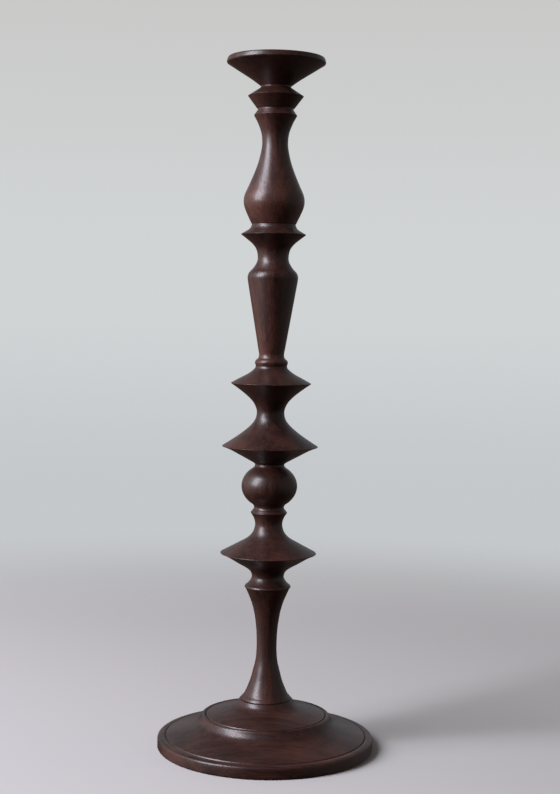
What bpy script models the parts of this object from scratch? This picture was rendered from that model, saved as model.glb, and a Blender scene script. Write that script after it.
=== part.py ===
"""A turned walnut candlestick, 450 mm tall, built as the stack of turnings that it is.

Outlines are in millimetres: radius, then height above the table, like the marks on a
turner's story stick. Each is read down the outside of its piece. An outline is a list of
runs: a run of three or more points is one smooth curve, and runs meet in crisp corners.
"""

import math

import bmesh
import bpy

MM = 0.001

# Driving dimensions, in millimetres.
GAP = 0.3                     # between touching pieces
HEIGHT = 450.0                # table to rim
TABLE_GAP = 0.3               # the felt holds the wood this far off the table
FELT_THICKNESS = 1.8
FELT_RADIUS = 62.0

# Heights of the seats: each is the underside of the piece that it names.
STEM_SEAT = 32.2
DISC_SEAT = 106.1
BALL_SEAT = 157.9
DOUBLE_DISC_SEAT = 187.7
COLUMN_SEAT = 252.0
VASE_SEAT = 343.7
COLLAR_SEAT = 417.7
CUP_SEAT = 431.9

# Joinery. A dowel is centred on the joint that it crosses.
DOWEL_RADIUS = 4.0
WIDE_DOWEL_RADIUS = 5.0
DOWEL_LENGTH = 30.0
BALL_DOWEL_LENGTH = 60.0      # through the ball and into both of its neighbours
BALL_MIDDLE = (BALL_SEAT + DOUBLE_DISC_SEAT) / 2
DOWEL_CHAMFER = 0.8
FLUTE_DEPTH = 0.25
SPIGOT_RADIUS = 5.0
SPIGOT_BOTTOM = 406.4
TENON_RADIUS = 7.0
TENON_BOTTOM = 11.7
MORTISE_FLOOR = TENON_BOTTOM - GAP

# Candle socket.
BORE_RADIUS = 11.1            # for a 22 mm dinner candle
BRASS_WALL = 0.8
BRASS_FLOOR = 2.2
SOCKET_FLOOR = 436.3          # where the candle stands
MOUTH = 449.3
FLANGE_RADIUS = 13.9

# Screws.
CUP_SCREW_RADIUS = 1.4
CUP_SCREW_HEAD = 2.6
COUNTERSINK = 1.65            # flare, and depth, of the 45 degree seat for its head
CUP_SCREW_TIP = 422.0
BASE_SCREW_RADIUS = 2.1
BASE_SCREW_HEAD = 4.0
BASE_SCREW_TIP = 30.4
WASHER_RADIUS = 6.8
WASHER_TOP = 6.6
WASHER_THICKNESS = 1.1
THREAD_DEPTH = 0.3
THREAD_RINGS = 5
SLOT_WIDTH = 0.8
SLOT_DEPTH = 0.7

# Fineness of the solids.
AROUND = 32
AROUND_SMALL = 12
DOWEL_FLUTES = 8
CHORD_ERROR = 0.25            # a facet's greatest distance from its curve
STEPS_A_SPAN = 6
CREASE_ANGLE = math.radians(40)

# name: base colour, metallic, roughness
FINISHES = {
    "walnut": ((0.045, 0.021, 0.015), 0.0, 0.42),
    "brass": ((0.62, 0.41, 0.14), 1.0, 0.30),
    "steel": ((0.48, 0.48, 0.50), 1.0, 0.35),
    "beech": ((0.50, 0.32, 0.18), 0.0, 0.60),
    "felt": ((0.030, 0.028, 0.026), 0.0, 0.95),
}


# ---------------------------------------------------------------- scene and materials

def clear_scene():
    for thing in list(bpy.data.objects):
        bpy.data.objects.remove(thing, do_unlink=True)


def new_collection(name):
    collection = bpy.data.collections.new(name)
    bpy.context.scene.collection.children.link(collection)
    return collection


def make_material(name, finish):
    colour, metallic, roughness = FINISHES[finish]
    material = bpy.data.materials.new(name)
    material.use_nodes = True
    shader = material.node_tree.nodes["Principled BSDF"]
    shader.inputs["Base Color"].default_value = (*colour, 1.0)
    shader.inputs["Metallic"].default_value = metallic
    shader.inputs["Roughness"].default_value = roughness
    material.diffuse_color = (*colour, 1.0)
    return material


# ---------------------------------------------------------------- outlines

def dowel_span(middle, length=DOWEL_LENGTH):
    """The heights of a dowel's lower and upper ends."""
    centre = middle - GAP / 2
    return centre - length / 2, centre + length / 2


def smooth(points):
    """A curve through the points: Catmull-Rom, with its end tangents along the ends."""
    padded = [points[0], *points, points[-1]]
    curve = [points[0]]
    for before, start, end, after in zip(padded, padded[1:], padded[2:], padded[3:]):
        for step in range(1, STEPS_A_SPAN + 1):
            t = step / STEPS_A_SPAN
            curve.append(tuple(
                0.5 * (2 * b + (c - a) * t + (2 * a - 5 * b + 4 * c - d) * t ** 2
                       + (3 * b - a - 3 * c + d) * t ** 3)
                for a, b, c, d in zip(before, start, end, after)))
    return curve


def thinned(curve):
    """The fewest points of a curve that stay within CHORD_ERROR of it (Douglas-Peucker)."""
    (r0, z0), (r1, z1) = curve[0], curve[-1]
    length = math.hypot(r1 - r0, z1 - z0)
    gaps = [abs((r - r0) * (z1 - z0) - (z - z0) * (r1 - r0)) / length for r, z in curve]
    widest = max(range(len(curve)), key=gaps.__getitem__)
    if gaps[widest] < CHORD_ERROR:
        return [curve[0], curve[-1]]
    return thinned(curve[:widest + 1]) + thinned(curve[widest:])[1:]


def ellipse(radius, half_height, height, end_radius, steps):
    """A run of points down an upright ellipse, from end_radius round to end_radius."""
    reach = math.acos(end_radius / radius)
    angles = [reach - 2 * reach * step / steps for step in range(steps + 1)]
    return [(radius * math.cos(a), height + half_height * math.sin(a)) for a in angles]


def traced(runs):
    """The runs as one line of points, without the doubles where runs meet."""
    line = []
    for run in runs:
        for point in thinned(smooth(run)) if len(run) > 2 else run:
            if not line or math.dist(point, line[-1]) > 0.01:
                line.append(point)
    return line


# ---------------------------------------------------------------- solids

def finish_piece(piece, collection, finish):
    piece.data.materials.append(make_material(piece.name, finish))
    piece.data.shade_smooth()
    piece.data.set_sharp_from_angle(angle=CREASE_ANGLE)
    collection.objects.link(piece)
    return piece


def evaluated_mesh(thing):
    graph = bpy.context.evaluated_depsgraph_get()
    return bpy.data.meshes.new_from_object(thing.evaluated_get(graph))


def turned(name, seat, runs, collection, finish, around=AROUND, ring=False):
    """Turns an outline about Z. Its origin is on the axis, at the height of its seat."""
    line = traced(runs)
    if ring and math.dist(line[0], line[-1]) < 0.01:
        line.pop()
    count = len(line)
    edges = [(i, i + 1) for i in range(count - 1)]
    if ring:
        edges.append((count - 1, 0))
    mesh = bpy.data.meshes.new(name)
    mesh.from_pydata([(r * MM, 0.0, (z - seat) * MM) for r, z in line], edges, [])
    profile = bpy.data.objects.new(name, mesh)
    bpy.context.scene.collection.objects.link(profile)
    lathe = profile.modifiers.new("lathe", "SCREW")
    lathe.axis = "Z"
    lathe.steps = around
    lathe.render_steps = around
    lathe.use_merge_vertices = True
    lathe.merge_threshold = 0.00001
    profile.data = evaluated_mesh(profile)
    profile.modifiers.clear()
    bpy.context.scene.collection.objects.unlink(profile)
    profile.location.z = seat * MM
    return finish_piece(profile, collection, finish)


def fluted_dowel(name, radius, span, collection):
    """A dowel with chamfered ends, whose every second edge is drawn in as a flute."""
    bottom, top = span
    shape = bmesh.new()
    bmesh.ops.create_cone(
        shape, cap_ends=True, segments=2 * DOWEL_FLUTES,
        radius1=radius * MM, radius2=radius * MM, depth=(top - bottom) * MM)
    rims = [edge for edge in shape.edges if len({round(v.co.z, 6) for v in edge.verts}) == 1]
    bmesh.ops.bevel(shape, geom=rims, offset=DOWEL_CHAMFER * MM, segments=1, affect="EDGES")
    sector = math.pi / DOWEL_FLUTES
    draw_in = 1.0 - FLUTE_DEPTH / radius
    for vert in shape.verts:
        if round(math.atan2(vert.co.x, vert.co.y) / sector) % 2:
            vert.co.x *= draw_in
            vert.co.y *= draw_in
    mesh = bpy.data.meshes.new(name)
    shape.to_mesh(mesh)
    shape.free()
    dowel = bpy.data.objects.new(name, mesh)
    dowel.location.z = (bottom + top) / 2 * MM
    return finish_piece(dowel, collection, "beech")


def cut_slot(screw, head_radius, face, cutters):
    """Cuts a driver slot across a screw's head, SLOT_DEPTH deep into its face.

    The cutter is centred on the height of the face, so half of it stands clear of the head.
    """
    shape = bmesh.new()
    bmesh.ops.create_cube(shape, size=1.0)
    size = (3 * head_radius * MM, SLOT_WIDTH * MM, 2 * SLOT_DEPTH * MM)
    bmesh.ops.scale(shape, vec=size, verts=shape.verts)
    mesh = bpy.data.meshes.new(f"{screw.name}_slot")
    shape.to_mesh(mesh)
    shape.free()
    cutter = bpy.data.objects.new(mesh.name, mesh)
    cutter.location.z = face * MM
    cutter.hide_render = True
    cutter.display_type = "WIRE"
    cutters.objects.link(cutter)
    cut = screw.modifiers.new("slot", "BOOLEAN")
    cut.operation = "DIFFERENCE"
    cut.solver = "EXACT"
    cut.object = cutter


def thread(core, first, last):
    """Thread ridges as rings along a shank, from the height first to the height last."""
    pitch = (last - first) / THREAD_RINGS
    line = []
    for ring in range(THREAD_RINGS):
        height = first + ring * pitch
        line.append([(core, height)])
        line.append([(core + THREAD_DEPTH, height + pitch / 2)])
    return line + [[(core, last)]]


# ---------------------------------------------------------------- the pieces, floor up

def add_felt_pad(wood):
    edge = 0.3
    turned("felt_pad", 0.0, [
        [(0, FELT_THICKNESS)],
        [(FELT_RADIUS, FELT_THICKNESS)],
        [(FELT_RADIUS, edge)],
        [(FELT_RADIUS - edge, 0.0)],
        [(0, 0.0)],
    ], wood, "felt")


def add_base(wood):
    recess = FELT_THICKNESS + GAP
    counterbore = WASHER_RADIUS + 0.7
    web = WASHER_TOP + GAP
    screw_hole = BASE_SCREW_RADIUS + GAP
    turned("base", 0.0, [
        [(screw_hole, web)],
        [(screw_hole, MORTISE_FLOOR)],
        [(TENON_RADIUS + GAP, MORTISE_FLOOR)],
        [(TENON_RADIUS + GAP, STEM_SEAT - GAP)],
        # the upper tier, hollowed as it leaves the stem, down to its groove
        [(17.4, STEM_SEAT - GAP), (19.2, 29.4), (23.0, 27.0), (29.0, 25.0), (38.9, 21.9)],
        [(39.4, 20.8)],
        # its lip, which runs down into the cavetto of the lower tier
        [(39.9, 21.6), (41.0, 21.9), (42.1, 21.1), (43.0, 19.4), (44.9, 17.0), (48.5, 14.7),
         (54.0, 12.3), (65.3, 8.6)],
        [(65.8, 7.5)],
        # the outer lip, eased over into the upright edge
        [(66.3, 8.2), (68.0, 8.3), (69.8, 7.8), (70.7, 7.0), (71.0, 5.8)],
        [(71.0, 0.9)],
        [(70.6, TABLE_GAP)],
        [(FELT_RADIUS + GAP, TABLE_GAP)],
        [(FELT_RADIUS + GAP, recess)],
        [(counterbore, recess)],
        [(counterbore, web)],
    ], wood, "walnut", ring=True)


def add_base_screw(fittings, cutters):
    head_top = WASHER_TOP - WASHER_THICKNESS - GAP
    head_face = 2.6
    core = BASE_SCREW_RADIUS - THREAD_DEPTH
    threads = thread(core, head_top + 5.0, BASE_SCREW_TIP - 3.0)
    screw = turned("base_screw", head_top, [
        [(0, BASE_SCREW_TIP)],
        *reversed(threads),
        [(BASE_SCREW_RADIUS, head_top + 4.0)],
        [(BASE_SCREW_RADIUS, head_top)],
        [(BASE_SCREW_HEAD, head_top)],
        [(BASE_SCREW_HEAD, head_face + 0.7)],
        [(BASE_SCREW_HEAD - 0.7, head_face)],
        [(0, head_face)],
    ], fittings, "steel", around=AROUND_SMALL)
    cut_slot(screw, BASE_SCREW_HEAD, head_face, cutters)


def add_base_washer(fittings):
    bottom = WASHER_TOP - WASHER_THICKNESS
    hole = BASE_SCREW_RADIUS + GAP
    turned("base_washer", bottom, [
        [(hole, bottom)],
        [(hole, WASHER_TOP)],
        [(WASHER_RADIUS, WASHER_TOP)],
        [(WASHER_RADIUS, bottom)],
    ], fittings, "steel", around=AROUND_SMALL, ring=True)


def add_stem(wood):
    hole = DOWEL_RADIUS + GAP
    floor = dowel_span(DISC_SEAT)[0] - GAP
    top = DISC_SEAT - GAP
    pilot = BASE_SCREW_RADIUS + GAP
    pilot_end = BASE_SCREW_TIP + GAP
    turned("stem", STEM_SEAT, [
        [(0, floor)],
        [(hole, floor)],
        [(hole, top)],
        [(14.5, top), (12.2, 100.7), (10.5, 96.5), (8.5, 89.2), (7.15, 80.0), (6.6, 70.9),
         (6.7, 63.0), (7.3, 57.3), (8.75, 51.1), (10.9, 43.4), (14.0, 36.1), (15.7, 33.9),
         (16.6, 32.6)],
        [(16.5, STEM_SEAT)],
        [(TENON_RADIUS, STEM_SEAT)],
        [(TENON_RADIUS, TENON_BOTTOM + 0.8)],
        [(TENON_RADIUS - 0.8, TENON_BOTTOM)],
        [(pilot, TENON_BOTTOM)],
        [(pilot, pilot_end)],
        [(0, pilot_end)],
    ], wood, "walnut")


def add_lower_disc(wood):
    hole = DOWEL_RADIUS + GAP
    roof = dowel_span(DISC_SEAT)[1] + GAP
    floor = dowel_span(BALL_MIDDLE, BALL_DOWEL_LENGTH)[0] - GAP
    top = BALL_SEAT - GAP
    turned("lower_disc", DISC_SEAT, [
        [(0, floor)],
        [(hole, floor)],
        [(hole, top)],
        [(10.4, top)],
        [(11.6, 156.2), (11.95, 155.7), (11.65, 155.1)],
        [(11.65, 155.1), (9.95, 152.3), (8.95, 149.0), (9.15, 146.0), (10.55, 142.4),
         (14.1, 138.7), (21.8, 134.3), (28.2, 130.8), (31.2, 129.2)],
        [(31.4, 128.9)],
        [(31.2, 128.7), (27.1, 126.8), (20.6, 122.9), (15.0, 119.7), (11.6, 116.9),
         (10.5, 113.8), (11.15, 111.5), (13.0, 109.1), (14.8, 107.6)],
        [(15.15, 106.8)],
        [(14.8, DISC_SEAT)],
        [(hole, DISC_SEAT)],
        [(hole, roof)],
        [(0, roof)],
    ], wood, "walnut")


def add_ball_knop(wood):
    hole = DOWEL_RADIUS + GAP
    top = DOUBLE_DISC_SEAT - GAP
    turned("ball_knop", BALL_SEAT, [
        [(hole, top)],
        [(9.55, top)],
        [(9.55, 186.9), (9.9, 186.0), (10.8, 185.0)],
        ellipse(18.2, 14.8, 173.1, 10.8, 12),
        [(10.5, 160.9), (9.75, 159.2), (10.2, BALL_SEAT)],
        [(hole, BALL_SEAT)],
    ], wood, "walnut", ring=True)


def add_double_disc(wood):
    hole = DOWEL_RADIUS + GAP
    roof = dowel_span(BALL_MIDDLE, BALL_DOWEL_LENGTH)[1] + GAP
    floor = dowel_span(COLUMN_SEAT)[0] - GAP
    top = COLUMN_SEAT - GAP
    turned("double_disc", DOUBLE_DISC_SEAT, [
        [(0, floor)],
        [(hole, floor)],
        [(hole, top)],
        [(10.3, top), (10.3, 251.1), (11.25, 249.5), (15.1, 246.5), (21.6, 243.0), (25.9, 240.6)],
        [(26.15, 240.3)],
        [(25.9, 240.0), (21.6, 237.0), (15.7, 232.4), (11.4, 227.9), (9.25, 223.4),
         (9.1, 219.9), (10.2, 216.3), (13.55, 212.1), (19.7, 207.0), (26.1, 202.6),
         (31.1, 199.4)],
        [(31.3, 199.2)],
        [(31.1, 198.9), (26.5, 197.1), (18.5, 192.8), (11.2, 188.8)],
        [(9.7, DOUBLE_DISC_SEAT)],
        [(hole, DOUBLE_DISC_SEAT)],
        [(hole, roof)],
        [(0, roof)],
    ], wood, "walnut")


def add_column(wood):
    wide_hole = WIDE_DOWEL_RADIUS + GAP
    hole = DOWEL_RADIUS + GAP
    roof = dowel_span(COLUMN_SEAT)[1] + GAP
    floor = dowel_span(VASE_SEAT)[0] - GAP
    top = VASE_SEAT - GAP
    turned("column", COLUMN_SEAT, [
        [(0, floor)],
        [(wide_hole, floor)],
        [(wide_hole, top)],
        [(14.3, top), (14.3, 342.7), (15.55, 340.4), (18.4, 338.5), (20.8, 337.1)],
        [(21.0, 336.8)],
        [(20.8, 336.5), (17.4, 333.9), (13.5, 330.6), (11.0, 327.1), (10.05, 322.7),
         (10.5, 319.0), (12.8, 315.1), (15.35, 312.3), (16.4, 309.6), (16.15, 306.3)],
        [(8.6, 261.9), (8.15, 259.1), (8.5, 257.1), (9.3, 256.0)],
        [(9.9, 255.7), (10.75, 254.2), (10.4, 252.4)],
        [(10.2, COLUMN_SEAT)],
        [(hole, COLUMN_SEAT)],
        [(hole, roof)],
        [(0, roof)],
    ], wood, "walnut")


def add_vase(wood):
    wide_hole = WIDE_DOWEL_RADIUS + GAP
    roof = dowel_span(VASE_SEAT)[1] + GAP
    hole = SPIGOT_RADIUS + GAP
    floor = SPIGOT_BOTTOM - GAP
    top = COLLAR_SEAT - GAP
    turned("vase", VASE_SEAT, [
        [(0, floor)],
        [(hole, floor)],
        [(hole, top)],
        [(11.65, top), (11.5, 416.9), (11.95, 416.1)],
        [(13.65, 413.6), (13.95, 413.2), (13.75, 412.8)],
        [(13.75, 412.8), (11.25, 408.0), (9.1, 402.2), (8.4, 396.7), (8.7, 391.8),
         (10.3, 384.3), (12.85, 376.8), (16.45, 368.3), (19.05, 362.4), (19.75, 358.4),
         (19.25, 354.5), (17.3, 349.6), (14.85, 344.5)],
        [(14.5, VASE_SEAT)],
        [(wide_hole, VASE_SEAT)],
        [(wide_hole, roof)],
        [(0, roof)],
    ], wood, "walnut")


def add_collar(wood):
    hole = SPIGOT_RADIUS + GAP
    top = CUP_SEAT - GAP
    turned("collar", COLLAR_SEAT, [
        [(hole, top)],
        [(9.85, top), (9.8, 431.1), (10.3, 430.6)],
        [(17.55, 425.8), (17.95, 425.5), (17.7, 425.1)],
        [(12.4, 418.1)],
        [(12.1, COLLAR_SEAT)],
        [(hole, COLLAR_SEAT)],
    ], wood, "walnut", ring=True)


def add_drip_cup(wood):
    pilot = CUP_SCREW_RADIUS + GAP
    bore = BORE_RADIUS + BRASS_WALL + GAP
    floor = SOCKET_FLOOR - BRASS_FLOOR - GAP
    boss = MOUTH - BRASS_WALL - GAP
    turned("drip_cup", CUP_SEAT, [
        [(0, CUP_SCREW_TIP - GAP)],
        [(pilot, CUP_SCREW_TIP - GAP)],
        [(pilot, floor)],
        [(bore - 2.6, floor), (bore - 0.75, floor + 0.75), (bore, floor + 2.6)],
        [(bore, boss)],
        # the drip dish round the socket's boss, out to the rim
        [(14.4, boss), (16.4, 447.0), (20.8, 445.8), (26.0, 446.9), (30.4, 449.8)],
        [(30.75, HEIGHT), (31.25, 449.5), (31.7, 448.3), (32.0, 447.0)],
        [(31.7, 446.3), (21.9, 440.1), (15.5, 436.0), (10.4, 432.3)],
        [(10.0, CUP_SEAT)],
        [(SPIGOT_RADIUS, CUP_SEAT)],
        [(SPIGOT_RADIUS, SPIGOT_BOTTOM + 0.8)],
        [(SPIGOT_RADIUS - 0.8, SPIGOT_BOTTOM)],
        [(0, SPIGOT_BOTTOM)],
    ], wood, "walnut")


def add_candle_cup(fittings):
    hole = CUP_SCREW_RADIUS + GAP
    outside = BORE_RADIUS + BRASS_WALL
    underside = SOCKET_FLOOR - BRASS_FLOOR
    lip = MOUTH - BRASS_WALL
    turned("candle_cup", underside, [
        [(hole, underside)],
        [(hole, SOCKET_FLOOR - COUNTERSINK)],
        [(hole + COUNTERSINK, SOCKET_FLOOR)],
        [(BORE_RADIUS - 2.2, SOCKET_FLOOR), (BORE_RADIUS - 0.6, SOCKET_FLOOR + 0.6),
         (BORE_RADIUS, SOCKET_FLOOR + 2.2)],
        [(BORE_RADIUS, MOUTH - 0.3)],
        [(BORE_RADIUS + 0.3, MOUTH)],
        [(FLANGE_RADIUS - 0.3, MOUTH)],
        [(FLANGE_RADIUS, MOUTH - 0.3)],
        [(FLANGE_RADIUS, lip)],
        [(outside, lip)],
        [(outside, underside + 2.6), (outside - 0.75, underside + 0.75),
         (outside - 2.6, underside)],
    ], fittings, "brass", ring=True)


def add_cup_screw(fittings, cutters):
    """A countersunk screw, whose head lies just under the candle's seat."""
    face = SOCKET_FLOOR - GAP
    neck = face - (CUP_SCREW_HEAD - CUP_SCREW_RADIUS)
    core = CUP_SCREW_RADIUS - THREAD_DEPTH
    threads = thread(core, CUP_SCREW_TIP + 2.0, neck - 1.3)
    screw = turned("cup_screw", neck, [
        [(0, face)],
        [(CUP_SCREW_HEAD, face)],
        [(CUP_SCREW_RADIUS, neck)],
        [(CUP_SCREW_RADIUS, neck - 0.8)],
        *reversed(threads),
        [(0, CUP_SCREW_TIP)],
    ], fittings, "brass", around=AROUND_SMALL)
    cut_slot(screw, CUP_SCREW_HEAD, face, cutters)


def add_dowels(wood):
    through_ball = dowel_span(BALL_MIDDLE, BALL_DOWEL_LENGTH)
    fluted_dowel("stem_dowel", DOWEL_RADIUS, dowel_span(DISC_SEAT), wood)
    fluted_dowel("ball_dowel", DOWEL_RADIUS, through_ball, wood)
    fluted_dowel("column_dowel", DOWEL_RADIUS, dowel_span(COLUMN_SEAT), wood)
    fluted_dowel("vase_dowel", WIDE_DOWEL_RADIUS, dowel_span(VASE_SEAT), wood)


def main():
    clear_scene()
    candlestick = new_collection("candlestick")
    cutters = new_collection("cutters")
    add_felt_pad(candlestick)
    add_base(candlestick)
    add_base_screw(candlestick, cutters)
    add_base_washer(candlestick)
    add_stem(candlestick)
    add_lower_disc(candlestick)
    add_ball_knop(candlestick)
    add_double_disc(candlestick)
    add_column(candlestick)
    add_vase(candlestick)
    add_collar(candlestick)
    add_drip_cup(candlestick)
    add_candle_cup(candlestick)
    add_cup_screw(candlestick, cutters)
    add_dowels(candlestick)


main()
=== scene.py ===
import math

import bmesh
import bpy
from mathutils import Matrix, Vector


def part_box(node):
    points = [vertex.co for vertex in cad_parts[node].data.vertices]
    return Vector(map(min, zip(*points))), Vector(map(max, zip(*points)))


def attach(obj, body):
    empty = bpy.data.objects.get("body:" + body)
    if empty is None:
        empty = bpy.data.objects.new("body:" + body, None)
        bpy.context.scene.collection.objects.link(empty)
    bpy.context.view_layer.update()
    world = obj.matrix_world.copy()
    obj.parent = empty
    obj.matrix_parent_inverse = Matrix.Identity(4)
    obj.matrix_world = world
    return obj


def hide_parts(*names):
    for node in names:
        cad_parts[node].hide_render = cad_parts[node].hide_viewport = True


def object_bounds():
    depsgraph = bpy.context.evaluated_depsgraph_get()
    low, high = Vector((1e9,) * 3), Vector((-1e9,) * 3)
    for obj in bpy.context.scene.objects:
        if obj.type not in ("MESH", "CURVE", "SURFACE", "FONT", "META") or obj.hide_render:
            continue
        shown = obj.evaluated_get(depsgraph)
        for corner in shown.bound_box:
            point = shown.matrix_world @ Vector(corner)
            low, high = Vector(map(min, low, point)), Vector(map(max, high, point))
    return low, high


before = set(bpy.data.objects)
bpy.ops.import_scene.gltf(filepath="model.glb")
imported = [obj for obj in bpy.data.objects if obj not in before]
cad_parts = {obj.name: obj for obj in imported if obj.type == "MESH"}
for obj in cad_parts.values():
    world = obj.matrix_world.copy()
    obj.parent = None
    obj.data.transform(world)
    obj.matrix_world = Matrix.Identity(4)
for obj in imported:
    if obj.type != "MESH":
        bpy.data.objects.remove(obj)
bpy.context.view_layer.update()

# A turned walnut candlestick. Outlines are in millimetres: radius, then height above the
# table. Each is read down the outside of its piece, as a list of runs: a run of three or
# more points is one smooth curve, and runs meet in corners, which are then eased.

MM = 0.001
AROUND = 160                  # facets round a turned piece
STEPS_A_SPAN = 8
EASED = 0.22                  # radius, in mm, that sanding leaves on a sharp edge
EASED_STEPS = 4
JOINT = 0.10                  # hairline left between two glued turnings
CLEARANCE = 0.3               # round the dowels, and past their ends
DOWEL_HOLE = 4.3              # radius
WIDE_DOWEL_HOLE = 5.3         # radius, also of the spigot's hole
DOWEL_LENGTH = 30.0
BALL_DOWEL_LENGTH = 60.0


# ------------------------------------------------------------------ turned meshes

def smooth(points):
    """A Catmull-Rom curve through the points."""
    padded = [points[0], *points, points[-1]]
    curve = [points[0]]
    for before, start, end, after in zip(padded, padded[1:], padded[2:], padded[3:]):
        for step in range(1, STEPS_A_SPAN + 1):
            t = step / STEPS_A_SPAN
            curve.append(tuple(
                0.5 * (2 * b + (c - a) * t + (2 * a - 5 * b + 4 * c - d) * t ** 2
                       + (3 * b - a - 3 * c + d) * t ** 3)
                for a, b, c, d in zip(before, start, end, after)))
    return curve


def ellipse(radius, half_height, height, end_radius, steps=40):
    """A run of points down an upright ellipse, from end_radius round to end_radius."""
    reach = math.acos(end_radius / radius)
    angles = [reach - 2 * reach * step / steps for step in range(steps + 1)]
    return [(radius * math.cos(a), height + half_height * math.sin(a)) for a in angles]


def traced(runs):
    """The runs as one line of (radius, height, is a corner), without doubles."""
    line = []
    for run in runs:
        points = smooth(run) if 2 < len(run) < 30 else run
        for index, (r, z) in enumerate(points):
            corner = index in (0, len(points) - 1)
            if line and math.dist((r, z), line[-1][:2]) < 0.01:
                continue
            line.append((r, z, corner))
    return line


def eased(line, ring):
    """The line with each sharp corner off the axis replaced by a small arc."""
    out = []
    count = len(line)
    for index, (r, z, corner) in enumerate(line):
        at_end = not ring and index in (0, count - 1)
        if not corner or at_end or r < 0.01:
            out.append((r, z))
            continue
        here = Vector((r, z))
        back = Vector(line[index - 1][:2]) - here
        on = Vector(line[(index + 1) % count][:2]) - here
        turn = math.pi - back.angle(on)
        if turn < math.radians(18):
            out.append((r, z))
            continue
        cut = min(EASED * math.tan(turn / 2), EASED * 1.5, 0.45 * back.length, 0.45 * on.length)
        start = here + back.normalized() * cut
        end = here + on.normalized() * cut
        for step in range(EASED_STEPS + 1):
            t = step / EASED_STEPS
            point = start * (1 - t) ** 2 + here * 2 * t * (1 - t) + end * t ** 2
            out.append((point.x, point.y))
    return out


def lathe(name, runs, node=None, ring=False, around=AROUND):
    """Turns an outline about Z, and stands it where the CAD node stands."""
    line = eased(traced(runs), ring)
    if ring and math.dist(line[0], line[-1]) < 0.005:
        line.pop()
    lift = 0.0
    if node:
        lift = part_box(node)[0].z - min(z for r, z in line) * MM
    shape = bmesh.new()
    rows = []
    for r, z in line:
        height = z * MM + lift
        if r < 0.01:
            rows.append([shape.verts.new((0.0, 0.0, height))])
            continue
        rows.append([
            shape.verts.new((r * MM * math.cos(a), r * MM * math.sin(a), height))
            for a in (2 * math.pi * k / around for k in range(around))])
    pairs = list(zip(rows, rows[1:] + rows[:1])) if ring else list(zip(rows, rows[1:]))
    for upper, lower in pairs:
        for k in range(around):
            n = (k + 1) % around
            if len(upper) == 1 and len(lower) == 1:
                continue
            if len(upper) == 1:
                shape.faces.new((upper[0], lower[k], lower[n]))
            elif len(lower) == 1:
                shape.faces.new((upper[k], lower[0], upper[n]))
            else:
                shape.faces.new((upper[k], lower[k], lower[n], upper[n]))
    bmesh.ops.recalc_face_normals(shape, faces=shape.faces)
    mesh = bpy.data.meshes.new(name)
    shape.to_mesh(mesh)
    shape.free()
    mesh.shade_smooth()
    mesh.set_sharp_from_angle(angle=math.radians(32))
    piece = bpy.data.objects.new(name, mesh)
    bpy.context.scene.collection.objects.link(piece)
    return piece


# ------------------------------------------------------------------ outlines

STEM_SEAT, DISC_SEAT, BALL_SEAT, DOUBLE_DISC_SEAT = 32.2, 106.1, 157.9, 187.7
COLUMN_SEAT, VASE_SEAT, COLLAR_SEAT, CUP_SEAT = 252.0, 343.7, 417.7, 431.9
BALL_MIDDLE = (BALL_SEAT + DOUBLE_DISC_SEAT) / 2
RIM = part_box("drip_cup")[1].z / MM


def hole_bottom(middle, length=DOWEL_LENGTH):
    """The lower end of the hole for a dowel that is centred on a joint."""
    return middle - CLEARANCE / 2 - length / 2 - CLEARANCE


def hole_top(middle, length=DOWEL_LENGTH):
    """The upper end of the same hole."""
    return middle - CLEARANCE / 2 + length / 2 + CLEARANCE


BASE = [
    [(2.4, 6.9)], [(2.4, 11.4)], [(7.3, 11.4)], [(7.3, STEM_SEAT - JOINT)],
    [(17.4, STEM_SEAT - JOINT), (19.2, 29.4), (23.0, 27.0), (29.0, 25.0), (38.9, 21.9)],
    [(39.4, 20.8)],
    [(39.9, 21.6), (41.0, 21.9), (42.1, 21.1), (43.0, 19.4), (44.9, 17.0), (48.5, 14.7),
     (54.0, 12.3), (65.3, 8.6)],
    [(65.8, 7.5)],
    [(66.3, 8.2), (68.0, 8.3), (69.8, 7.8), (70.7, 7.0), (71.0, 5.8)],
    [(71.0, 0.9)], [(70.6, 0.3)],
    [(62.3, 0.3)], [(62.3, 2.1)], [(7.5, 2.1)], [(7.5, 6.9)],
]

STEM = [
    [(0, hole_bottom(DISC_SEAT))], [(DOWEL_HOLE, hole_bottom(DISC_SEAT))],
    [(DOWEL_HOLE, DISC_SEAT - JOINT)],
    [(14.5, DISC_SEAT - JOINT), (12.2, 100.7), (10.5, 96.5), (8.5, 89.2), (7.15, 80.0),
     (6.6, 70.9), (6.7, 63.0), (7.3, 57.3), (8.75, 51.1), (10.9, 43.4), (14.0, 36.1),
     (15.7, 33.9), (16.6, 32.6)],
    [(16.5, STEM_SEAT)],
    [(7.0, STEM_SEAT)], [(7.0, 12.5)], [(6.2, 11.7)], [(2.4, 11.7)], [(2.4, 30.7)], [(0, 30.7)],
]

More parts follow.
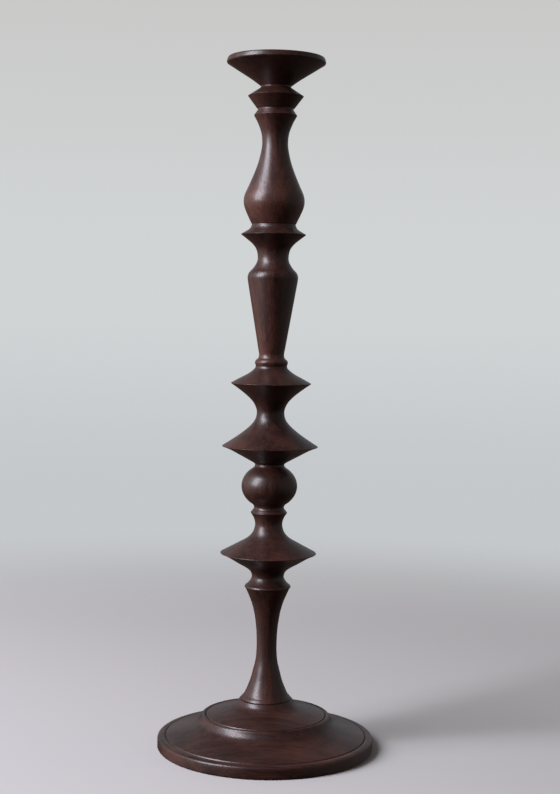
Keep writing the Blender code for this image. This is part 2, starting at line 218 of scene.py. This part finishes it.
LOWER_DISC = [
    [(0, hole_bottom(BALL_MIDDLE, BALL_DOWEL_LENGTH))],
    [(DOWEL_HOLE, hole_bottom(BALL_MIDDLE, BALL_DOWEL_LENGTH))],
    [(DOWEL_HOLE, BALL_SEAT - JOINT)], [(10.4, BALL_SEAT - JOINT)],
    [(11.6, 156.2), (11.95, 155.7), (11.65, 155.1)],
    [(11.65, 155.1), (9.95, 152.3), (8.95, 149.0), (9.15, 146.0), (10.55, 142.4),
     (14.1, 138.7), (21.8, 134.3), (28.2, 130.8), (31.2, 129.2)],
    [(31.2, 129.2), (31.4, 128.9), (31.2, 128.7)],
    [(31.2, 128.7), (27.1, 126.8), (20.6, 122.9), (15.0, 119.7), (11.6, 116.9),
     (10.5, 113.8), (11.15, 111.5), (13.0, 109.1), (14.8, 107.6)],
    [(15.15, 106.8)], [(14.8, DISC_SEAT)],
    [(DOWEL_HOLE, DISC_SEAT)], [(DOWEL_HOLE, hole_top(DISC_SEAT))], [(0, hole_top(DISC_SEAT))],
]

BALL = [
    [(DOWEL_HOLE, DOUBLE_DISC_SEAT - JOINT)], [(9.55, DOUBLE_DISC_SEAT - JOINT)],
    [(9.55, 186.9), (9.9, 186.0), (10.8, 185.0)],
    ellipse(18.2, 14.8, 173.1, 10.8),
    [(10.5, 160.9), (9.75, 159.2), (10.2, BALL_SEAT)],
    [(DOWEL_HOLE, BALL_SEAT)],
]

DOUBLE_DISC = [
    [(0, hole_bottom(COLUMN_SEAT))], [(DOWEL_HOLE, hole_bottom(COLUMN_SEAT))],
    [(DOWEL_HOLE, COLUMN_SEAT - JOINT)],
    [(10.3, COLUMN_SEAT - JOINT), (10.3, 251.1), (11.25, 249.5), (15.1, 246.5), (21.6, 243.0),
     (25.9, 240.6)],
    [(25.9, 240.6), (26.15, 240.3), (25.9, 240.0)],
    [(25.9, 240.0), (21.6, 237.0), (15.7, 232.4), (11.4, 227.9), (9.25, 223.4), (9.1, 219.9),
     (10.2, 216.3), (13.55, 212.1), (19.7, 207.0), (26.1, 202.6), (31.1, 199.4)],
    [(31.1, 199.4), (31.3, 199.2), (31.1, 198.9)],
    [(31.1, 198.9), (26.5, 197.1), (18.5, 192.8), (11.2, 188.8)],
    [(9.7, DOUBLE_DISC_SEAT)],
    [(DOWEL_HOLE, DOUBLE_DISC_SEAT)], [(DOWEL_HOLE, hole_top(BALL_MIDDLE, BALL_DOWEL_LENGTH))],
    [(0, hole_top(BALL_MIDDLE, BALL_DOWEL_LENGTH))],
]

COLUMN = [
    [(0, hole_bottom(VASE_SEAT))], [(WIDE_DOWEL_HOLE, hole_bottom(VASE_SEAT))],
    [(WIDE_DOWEL_HOLE, VASE_SEAT - JOINT)],
    [(14.3, VASE_SEAT - JOINT), (14.3, 342.7), (15.55, 340.4), (18.4, 338.5), (20.8, 337.1)],
    [(20.8, 337.1), (21.0, 336.8), (20.8, 336.5)],
    [(20.8, 336.5), (17.4, 333.9), (13.5, 330.6), (11.0, 327.1), (10.05, 322.7), (10.5, 319.0),
     (12.8, 315.1), (15.35, 312.3), (16.4, 309.6), (16.15, 306.3)],
    [(8.6, 261.9), (8.15, 259.1), (8.5, 257.1), (9.3, 256.0)],
    [(9.9, 255.7), (10.75, 254.2), (10.4, 252.4)],
    [(10.2, COLUMN_SEAT)],
    [(DOWEL_HOLE, COLUMN_SEAT)], [(DOWEL_HOLE, hole_top(COLUMN_SEAT))],
    [(0, hole_top(COLUMN_SEAT))],
]

VASE = [
    [(0, 406.1)], [(WIDE_DOWEL_HOLE, 406.1)], [(WIDE_DOWEL_HOLE, COLLAR_SEAT - JOINT)],
    [(11.65, COLLAR_SEAT - JOINT), (11.5, 416.9), (11.95, 416.1)],
    [(13.65, 413.6), (13.95, 413.2), (13.75, 412.8)],
    [(13.75, 412.8), (11.25, 408.0), (9.1, 402.2), (8.4, 396.7), (8.7, 391.8), (10.3, 384.3),
     (12.85, 376.8), (16.45, 368.3), (19.05, 362.4), (19.75, 358.4), (19.25, 354.5),
     (17.3, 349.6), (14.85, 344.5)],
    [(14.5, VASE_SEAT)],
    [(WIDE_DOWEL_HOLE, VASE_SEAT)], [(WIDE_DOWEL_HOLE, hole_top(VASE_SEAT))],
    [(0, hole_top(VASE_SEAT))],
]

COLLAR = [
    [(WIDE_DOWEL_HOLE, CUP_SEAT - JOINT)],
    [(9.85, CUP_SEAT - JOINT), (9.8, 431.1), (10.3, 430.6)],
    [(17.55, 425.8), (17.95, 425.5), (17.7, 425.1)],
    [(12.4, 418.1)], [(12.1, COLLAR_SEAT)], [(WIDE_DOWEL_HOLE, COLLAR_SEAT)],
]

DRIP_CUP = [
    [(0, 421.7)], [(1.7, 421.7)], [(1.7, 433.8)],
    [(9.6, 433.8), (11.45, 434.55), (12.2, 436.4)], [(12.2, 448.2)],
    [(14.4, 448.2), (16.4, 447.0), (20.8, 445.8), (26.0, 446.9), (30.4, 449.8)],
    [(30.4, 449.8), (30.75, RIM), (31.25, 449.5), (31.7, 448.3), (32.0, 447.0)],
    [(31.7, 446.3), (21.9, 440.1), (15.5, 436.0), (10.4, 432.3)],
    [(10.0, CUP_SEAT)], [(5.0, CUP_SEAT)], [(5.0, 407.2)], [(4.2, 406.4)], [(0, 406.4)],
]

CANDLE_CUP = [
    [(1.7, 434.1)], [(1.7, 434.65)], [(3.35, 436.3)],
    [(8.9, 436.3), (10.5, 436.9), (11.1, 438.5)],
    [(11.1, 449.0)],
    [(11.1, 449.0), (11.2, 449.2), (11.4, 449.3)],
    [(13.5, 449.3), (13.75, 449.2), (13.9, 448.95)],
    [(13.9, 448.5)], [(11.9, 448.5)],
    [(11.9, 436.7), (11.15, 434.85), (9.3, 434.1)],
]

FELT = [[(0, 1.8)], [(62.0, 1.8)], [(62.0, 0.4), (61.9, 0.1), (61.6, 0.0)], [(0, 0.0)]]


# ------------------------------------------------------------------ material helpers

class Graph:
    """A material's nodes, added and linked in one call each."""

    def __init__(self, name):
        self.material = bpy.data.materials.new(name)
        self.material.use_nodes = True
        self.tree = self.material.node_tree
        self.shader = self.tree.nodes["Principled BSDF"]

    def add(self, kind, settings=None, **inputs):
        node = self.tree.nodes.new(kind)
        for key, value in (settings or {}).items():
            setattr(node, key, value)
        for key, value in inputs.items():
            self.put(node.inputs[key.replace("_", " ")], value)
        return node

    def put(self, socket, value):
        if isinstance(value, bpy.types.NodeSocket):
            self.tree.links.new(value, socket)
        else:
            socket.default_value = value

    def math(self, operation, *values):
        node = self.tree.nodes.new("ShaderNodeMath")
        node.operation = operation
        for socket, value in zip(node.inputs, values):
            self.put(socket, value)
        return node.outputs[0]

    def vector(self, operation, *values):
        node = self.tree.nodes.new("ShaderNodeVectorMath")
        node.operation = operation
        for socket, value in zip(node.inputs, values):
            self.put(socket, value)
        return node.outputs[0]

    def length(self, vector):
        node = self.tree.nodes.new("ShaderNodeVectorMath")
        node.operation = "LENGTH"
        self.put(node.inputs[0], vector)
        return node.outputs["Value"]

    def noise(self, vector, scale, detail=2.0, rough=0.5):
        node = self.add("ShaderNodeTexNoise", Vector=vector, Scale=scale, Detail=detail,
                        Roughness=rough)
        return node.outputs[0], node.outputs[1]

    def ramp(self, value, *stops, smoothly=False):
        node = self.tree.nodes.new("ShaderNodeValToRGB")
        node.color_ramp.interpolation = "EASE" if smoothly else "LINEAR"
        elements = node.color_ramp.elements
        while len(elements) < len(stops):
            elements.new(0.5)
        for element, (place, colour) in zip(elements, stops):
            element.position = place
            grey = isinstance(colour, (int, float))
            element.color = (colour, colour, colour, 1.0) if grey else (*colour, 1.0)
        self.put(node.inputs[0], value)
        return node.outputs[0]

    def mix(self, share, first, second, blend="MIX"):
        node = self.tree.nodes.new("ShaderNodeMix")
        node.data_type = "RGBA"
        node.blend_type = blend
        self.put(node.inputs[0], share)
        for socket, value in ((node.inputs[6], first), (node.inputs[7], second)):
            is_colour = isinstance(value, tuple)
            self.put(socket, (*value, 1.0) if is_colour else value)
        return node.outputs[2]

    def bump(self, height, strength, distance, normal=None):
        node = self.add("ShaderNodeBump", Strength=strength, Distance=distance, Height=height)
        if normal is not None:
            self.put(node.inputs["Normal"], normal)
        return node.outputs[0]

    def place(self, location=(0, 0, 0), turn=(0, 0, 0), scale=(1, 1, 1), vector=None):
        """Object coordinates, in metres, turned and shifted."""
        if vector is None:
            vector = self.add("ShaderNodeTexCoord").outputs["Object"]
        node = self.add("ShaderNodeMapping", Vector=vector, Location=location,
                        Rotation=turn, Scale=scale)
        return node.outputs[0]


# ------------------------------------------------------------------ materials

DARK = (0.0135, 0.0054, 0.0040)
MIDDLE = (0.035, 0.0136, 0.0104)
RED = (0.072, 0.0262, 0.0190)


def walnut(name, pith, turn=(0.0, 0.0, 0.0), ring_mm=3.4, figure=1.0, tone=1.0):
    """Stained walnut under satin lacquer. The grain runs along the turned Z, and growth
    rings lie round the pith, given in metres off the piece's axis."""
    g = Graph(name)
    wood = g.place(location=pith, turn=turn)
    along = g.place(vector=wood, scale=(1.0, 1.0, 0.16))
    _, wander_vector = g.noise(along, 26.0, 2.0, 0.45)
    shift = g.vector("MULTIPLY", g.vector("SUBTRACT", wander_vector, (0.5, 0.5, 0.5)),
                     (0.010 * figure, 0.010 * figure, 0.0))
    warped = g.vector("ADD", wood, shift)
    flat = g.vector("MULTIPLY", warped, (1.0, 1.0, 0.0))
    rings = g.math("MULTIPLY", g.length(flat), 1000.0 / ring_mm)
    uneven, _ = g.noise(g.place(vector=wood, scale=(1.0, 1.0, 0.05)), 160.0, 2.0, 0.5)
    rings = g.math("ADD", rings, g.math("MULTIPLY", uneven, 0.9))
    year = g.math("FRACT", rings)
    late = g.ramp(year, (0.0, 0.62), (0.10, 0.16), (0.45, 0.30), (0.80, 0.62), (0.95, 1.0),
                  (1.0, 0.62))

    # fibre: fine streaks along the grain
    fine, _ = g.noise(g.place(vector=warped, scale=(1.0, 1.0, 0.022)), 1500.0, 3.0, 0.6)
    broad, _ = g.noise(g.place(vector=warped, scale=(1.0, 1.0, 0.05)), 260.0, 2.0, 0.55)
    # cloudy colour, as from the dark and light parts of the heartwood
    cloud, _ = g.noise(g.place(vector=wood, scale=(1.0, 1.0, 0.28)), 42.0, 3.0, 0.55)

    body = g.ramp(cloud, (0.30, DARK), (0.50, MIDDLE), (0.68, RED), smoothly=True)
    colour = g.mix(g.math("MULTIPLY", late, 0.55), body, DARK)
    streak = g.ramp(broad, (0.40, 0.0), (0.62, 1.0))
    colour = g.mix(g.math("MULTIPLY", streak, 0.42), colour, RED)
    hair = g.ramp(fine, (0.36, 0.50), (0.60, 1.22))
    colour = g.mix(0.75, colour, hair, "MULTIPLY")

    # open pores: short dark dashes, most of them in the early wood
    dashes, _ = g.noise(g.place(vector=warped, scale=(1.0, 1.0, 0.045)), 3100.0, 1.0, 0.4)
    crowd = g.math("MULTIPLY", g.math("SUBTRACT", 1.0, late), 0.035)
    pores = g.ramp(g.math("ADD", dashes, crowd), (0.655, 0.0), (0.70, 1.0))
    colour = g.mix(g.math("MULTIPLY", pores, 0.72), colour, (0.0065, 0.0035, 0.003))
    if tone != 1.0:
        colour = g.mix(1.0, colour, (tone, tone, tone), "MULTIPLY")
    g.put(g.shader.inputs["Base Color"], colour)

    # satin lacquer that the fibres and pores still show through
    rough = g.math("ADD", g.math("MULTIPLY", fine, 0.14), g.math("MULTIPLY", pores, 0.25))
    g.put(g.shader.inputs["Roughness"], g.math("ADD", rough, 0.28))
    relief = g.math("SUBTRACT", g.math("MULTIPLY", fine, 0.25), pores)
    g.put(g.shader.inputs["Normal"], g.bump(relief, 0.26, 0.00012))
    g.shader.inputs["Specular IOR Level"].default_value = 0.45
    g.shader.inputs["Coat Weight"].default_value = 0.10
    g.shader.inputs["Coat Roughness"].default_value = 0.20
    return g.material


def metal(name, colour, dull, rough):
    """Turned metal: fine rings, a little tarnish and a few dull spots."""
    g = Graph(name)
    place = g.add("ShaderNodeTexCoord").outputs["Object"]
    tarnish, _ = g.noise(place, 180.0, 4.0, 0.6)
    share = g.ramp(tarnish, (0.42, 0.0), (0.72, 1.0))
    g.put(g.shader.inputs["Base Color"], g.mix(g.math("MULTIPLY", share, 0.55), colour, dull))
    flat = g.vector("MULTIPLY", place, (1.0, 1.0, 0.0))
    height = g.add("ShaderNodeSeparateXYZ", Vector=place).outputs[2]
    turning = g.math("ADD", g.math("MULTIPLY", g.length(flat), 6000.0),
                     g.math("MULTIPLY", height, 4500.0))
    lines = g.add("ShaderNodeTexNoise", {"noise_dimensions": "1D"}, W=turning, Scale=2.0,
                  Detail=2.0).outputs[0]
    g.put(g.shader.inputs["Roughness"],
          g.math("ADD", g.math("MULTIPLY", share, 0.16), g.math("MULTIPLY_ADD", lines, 0.10, rough)))
    g.put(g.shader.inputs["Normal"], g.bump(lines, 0.12, 0.00005))
    g.shader.inputs["Metallic"].default_value = 1.0
    return g.material


def felt_material():
    g = Graph("felt")
    place = g.add("ShaderNodeTexCoord").outputs["Object"]
    matted, _ = g.noise(place, 900.0, 5.0, 0.7)
    tufts, _ = g.noise(place, 150.0, 2.0, 0.5)
    colour = g.mix(tufts, (0.012, 0.011, 0.011), (0.040, 0.037, 0.036))
    colour = g.mix(g.ramp(matted, (0.45, 0.0), (0.75, 0.5)), colour, (0.075, 0.070, 0.068))
    g.put(g.shader.inputs["Base Color"], colour)
    g.put(g.shader.inputs["Normal"], g.bump(matted, 0.7, 0.0004))
    g.shader.inputs["Roughness"].default_value = 0.95
    g.shader.inputs["Sheen Weight"].default_value = 0.3
    return g.material


def beech_material():
    g = Graph("beech")
    place = g.add("ShaderNodeTexCoord").outputs["Object"]
    grain, _ = g.noise(g.place(vector=place, scale=(1.0, 1.0, 0.04)), 900.0, 3.0, 0.6)
    flecks, _ = g.noise(g.place(vector=place, scale=(1.0, 1.0, 0.12)), 2200.0, 1.0, 0.4)
    colour = g.ramp(grain, (0.35, (0.40, 0.24, 0.13)), (0.65, (0.56, 0.37, 0.22)))
    colour = g.mix(g.ramp(flecks, (0.60, 0.0), (0.68, 0.6)), colour, (0.26, 0.14, 0.075))
    g.put(g.shader.inputs["Base Color"], colour)
    g.put(g.shader.inputs["Normal"], g.bump(grain, 0.3, 0.0001))
    g.shader.inputs["Roughness"].default_value = 0.62
    return g.material


def floor_material():
    """Pale matt paint that fades out with distance, so that the floor has no horizon."""
    g = Graph("floor")
    place = g.add("ShaderNodeTexCoord").outputs["Object"]
    mottle, _ = g.noise(place, 3.0, 2.0, 0.5)
    g.put(g.shader.inputs["Base Color"], g.mix(mottle, (0.56, 0.55, 0.54), (0.58, 0.57, 0.56)))
    g.shader.inputs["Roughness"].default_value = 0.7
    g.shader.inputs["Specular IOR Level"].default_value = 0.15
    span = g.add("ShaderNodeMapRange", {"interpolation_type": "SMOOTHSTEP"},
                 Value=g.length(place), From_Min=0.32, From_Max=0.95,
                 To_Min=1.0, To_Max=0.0)
    g.put(g.shader.inputs["Alpha"], span.outputs[0])
    return g.material


# ------------------------------------------------------------------ the pieces

def dress(piece, material, slot, *nodes):
    piece.data.materials.clear()
    piece.data.materials.append(material)
    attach(piece, "root")
    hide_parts(*nodes)
    return piece


# name, node, outline, ring, pith off the axis in metres, grain's turn, ring width, figure, tone
UPRIGHT = [
    ("stem", STEM, False, (0.034, 0.021, 0.0), (0.03, 0.02, 0.4), 2.9, 0.8, 0.92),
    ("lower_disc", LOWER_DISC, False, (0.050, -0.040, 0.2), (-0.05, 0.04, 1.3), 3.6, 1.1, 1.0),
    ("ball_knop", BALL, True, (0.026, 0.044, 0.4), (0.12, -0.06, 2.2), 3.8, 1.5, 1.05),
    ("double_disc", DOUBLE_DISC, False, (-0.060, 0.030, 0.6), (0.02, 0.05, 0.9), 3.2, 1.1, 0.98),
    ("column", COLUMN, False, (0.042, 0.030, 0.8), (0.03, -0.02, 3.0), 3.0, 0.8, 1.02),
    ("vase", VASE, False, (-0.034, -0.036, 1.1), (0.10, 0.08, 1.8), 3.7, 1.5, 1.40),
    ("collar", COLLAR, True, (0.045, -0.050, 1.3), (0.04, 0.0, 0.5), 3.4, 1.0, 1.0),
    ("drip_cup", DRIP_CUP, False, (-0.050, 0.045, 1.5), (-0.03, 0.05, 2.6), 3.5, 1.1, 0.95),
]

for node, outline, ring, pith, turn, width, figure, tone in UPRIGHT:
    wood = walnut("walnut_" + node, pith, turn, width, figure, tone)
    dress(lathe("walnut_" + node, outline, node, ring), wood, "walnut", node)

# the base is turned from a flat board, so its grain lies level
base_wood = walnut("walnut_base", (0.10, 0.046, 0.0), (0.0, math.radians(87), 0.35), 4.2, 0.8, 1.0)
dress(lathe("walnut_base", BASE, "base", True, around=256), base_wood, "walnut_base", "base")

brass = metal("brass", (0.60, 0.38, 0.13), (0.22, 0.13, 0.055), 0.24)
steel = metal("steel", (0.50, 0.50, 0.52), (0.26, 0.26, 0.27), 0.30)
dress(lathe("brass_candle_cup", CANDLE_CUP, "candle_cup", True), brass, "brass", "candle_cup")

felt = lathe("felt_disc", FELT, "felt_pad", around=192)
dress(felt, felt_material(), "felt", "felt_pad")

beech = beech_material()
CARRIED = {"cup_screw": brass, "base_screw": steel, "base_washer": steel, "stem_dowel": beech,
           "ball_dowel": beech, "column_dowel": beech, "vase_dowel": beech}
for node, material in CARRIED.items():
    for material_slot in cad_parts[node].material_slots:
        material_slot.material = material


# ------------------------------------------------------------------ stage, light, camera

def area_light(name, place, target, size, power, colour):
    lamp = bpy.data.lights.new(name, "AREA")
    lamp.shape = "RECTANGLE"
    lamp.size, lamp.size_y = size
    lamp.energy = power
    lamp.color = colour
    holder = bpy.data.objects.new(name, lamp)
    holder.location = place
    holder.rotation_euler = (Vector(target) - Vector(place)).to_track_quat("-Z", "Y").to_euler()
    bpy.context.scene.collection.objects.link(holder)
    return holder


def round_about(distance, left_degrees, height):
    """A point at a distance from the axis, so many degrees left of the camera's side."""
    a = math.radians(left_degrees)
    return (-distance * math.sin(a), -distance * math.cos(a), height)


floor_shape = bmesh.new()
bmesh.ops.create_circle(floor_shape, cap_ends=True, segments=128, radius=9.0)
floor_mesh = bpy.data.meshes.new("floor")
floor_shape.to_mesh(floor_mesh)
floor_shape.free()
floor = bpy.data.objects.new("floor", floor_mesh)
floor.location.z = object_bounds()[0].z - 0.0001
floor.data.materials.append(floor_material())
bpy.context.scene.collection.objects.link(floor)
floor.visible_diffuse = False
floor.visible_glossy = False

# a tall window to the left of the camera, and a faint ceiling
WINDOW_PLACE = round_about(1.5, 63, 1.10)
WINDOW_WATTS = 58.0
CEILING_WATTS = 1.0
area_light("window", WINDOW_PLACE, (0, 0, 0.22), (0.85, 1.5), WINDOW_WATTS, (0.91, 0.90, 1.0))
area_light("ceiling", (0, 0.5, 2.3), (0, 0, 0.2), (2.4, 2.4), CEILING_WATTS, (1.0, 0.99, 0.97))

world = bpy.data.worlds.new("room")
bpy.context.scene.world = world
world.use_nodes = True
nodes, links = world.node_tree.nodes, world.node_tree.links
direction = nodes.new("ShaderNodeTexCoord")
split = nodes.new("ShaderNodeSeparateXYZ")
links.new(direction.outputs["Generated"], split.inputs[0])


def graded(axis, low_end, high_end, stops):
    """A background whose colour runs along one axis of the direction, between two values."""
    span = nodes.new("ShaderNodeMapRange")
    span.inputs["From Min"].default_value = low_end
    span.inputs["From Max"].default_value = high_end
    links.new(split.outputs[axis], span.inputs["Value"])
    ramp = nodes.new("ShaderNodeValToRGB")
    ramp.color_ramp.interpolation = "EASE"
    elements = ramp.color_ramp.elements
    while len(elements) < len(stops):
        elements.new(0.5)
    for element, (place, colour) in zip(elements, stops):
        element.position = place
        element.color = (*colour, 1.0)
    links.new(span.outputs[0], ramp.inputs[0])
    background = nodes.new("ShaderNodeBackground")
    links.new(ramp.outputs[0], background.inputs["Color"])
    return background


def blended(axis, start, end, first, second):
    """The first shader, giving way to the second between two values along one axis."""
    span = nodes.new("ShaderNodeMapRange")
    span.interpolation_type = "SMOOTHSTEP"
    span.inputs["From Min"].default_value = start
    span.inputs["From Max"].default_value = end
    links.new(split.outputs[axis], span.inputs["Value"])
    mixed = nodes.new("ShaderNodeMixShader")
    links.new(span.outputs[0], mixed.inputs[0])
    links.new(first.outputs[0], mixed.inputs[1])
    links.new(second.outputs[0], mixed.inputs[2])
    return mixed


# behind everything, a plain pale backdrop, a little darker low down
backdrop = graded("Z", -0.35, 0.25, [
    (0.0, (0.55, 0.56, 0.57)), (0.38, (0.56, 0.58, 0.60)), (0.60, (0.64, 0.66, 0.67)),
    (1.0, (0.58, 0.58, 0.57))])
# the room as the object sees it: a pale wall beyond it, dim behind the camera and below
wall = graded("Y", -0.25, 0.85, [(0.0, (0.135, 0.096, 0.084)), (1.0, (0.31, 0.33, 0.35))])
below = graded("Y", -0.60, 0.90, [(0.0, (0.006, 0.004, 0.0035)), (1.0, (0.085, 0.062, 0.052))])
room = blended("Z", -0.10, 0.06, below, wall)
# dim overhead
overhead = nodes.new("ShaderNodeBackground")
overhead.inputs["Color"].default_value = (0.032, 0.028, 0.026, 1.0)
room = blended("Z", 0.40, 0.85, room, overhead)
# and daylight on the side where the window is, fading out below
side = graded("Z", -0.80, 0.20, [(0.0, (0.05, 0.025, 0.02)), (0.30, (0.58, 0.34, 0.285)),
                                 (0.70, (1.0, 0.66, 0.60)), (1.0, (0.95, 0.84, 0.86))])
room = blended("X", -0.52, -1.0, room, side)
# a dimmer pale wall on the other side
far_side = graded("Z", -0.80, 0.10, [(0.0, (0.02, 0.015, 0.013)), (1.0, (0.27, 0.245, 0.24))])
room = blended("X", 0.40, 0.95, room, far_side)
# the camera sees the backdrop, and the object sees the room
choose = nodes.new("ShaderNodeMixShader")
path = nodes.new("ShaderNodeLightPath")
links.new(path.outputs["Is Camera Ray"], choose.inputs[0])
links.new(room.outputs[0], choose.inputs[1])
links.new(backdrop.outputs[0], choose.inputs[2])
links.new(choose.outputs[0], nodes["World Output"].inputs["Surface"])

CAMERA_DISTANCE = 0.9509
CAMERA_HEIGHT = 0.2884
LENS_MM = 66.22
AIM_RIGHT = math.radians(0.36)
PITCH_DOWN = math.radians(3.425)
ROLL = math.radians(1.0)
camera_data = bpy.data.cameras.new("camera")
camera_data.lens = LENS_MM
camera = bpy.data.objects.new("camera", camera_data)
turned = (Matrix.Rotation(-AIM_RIGHT, 3, "Z") @ Matrix.Rotation(math.pi / 2 - PITCH_DOWN, 3, "X")
          @ Matrix.Rotation(ROLL, 3, "Z"))
camera.matrix_world = Matrix.Translation((0.0, -CAMERA_DISTANCE, CAMERA_HEIGHT)) @ turned.to_4x4()
bpy.context.scene.collection.objects.link(camera)
bpy.context.scene.camera = camera

bpy.context.scene.view_settings.view_transform = "Standard"

bpy.context.view_layer.update()
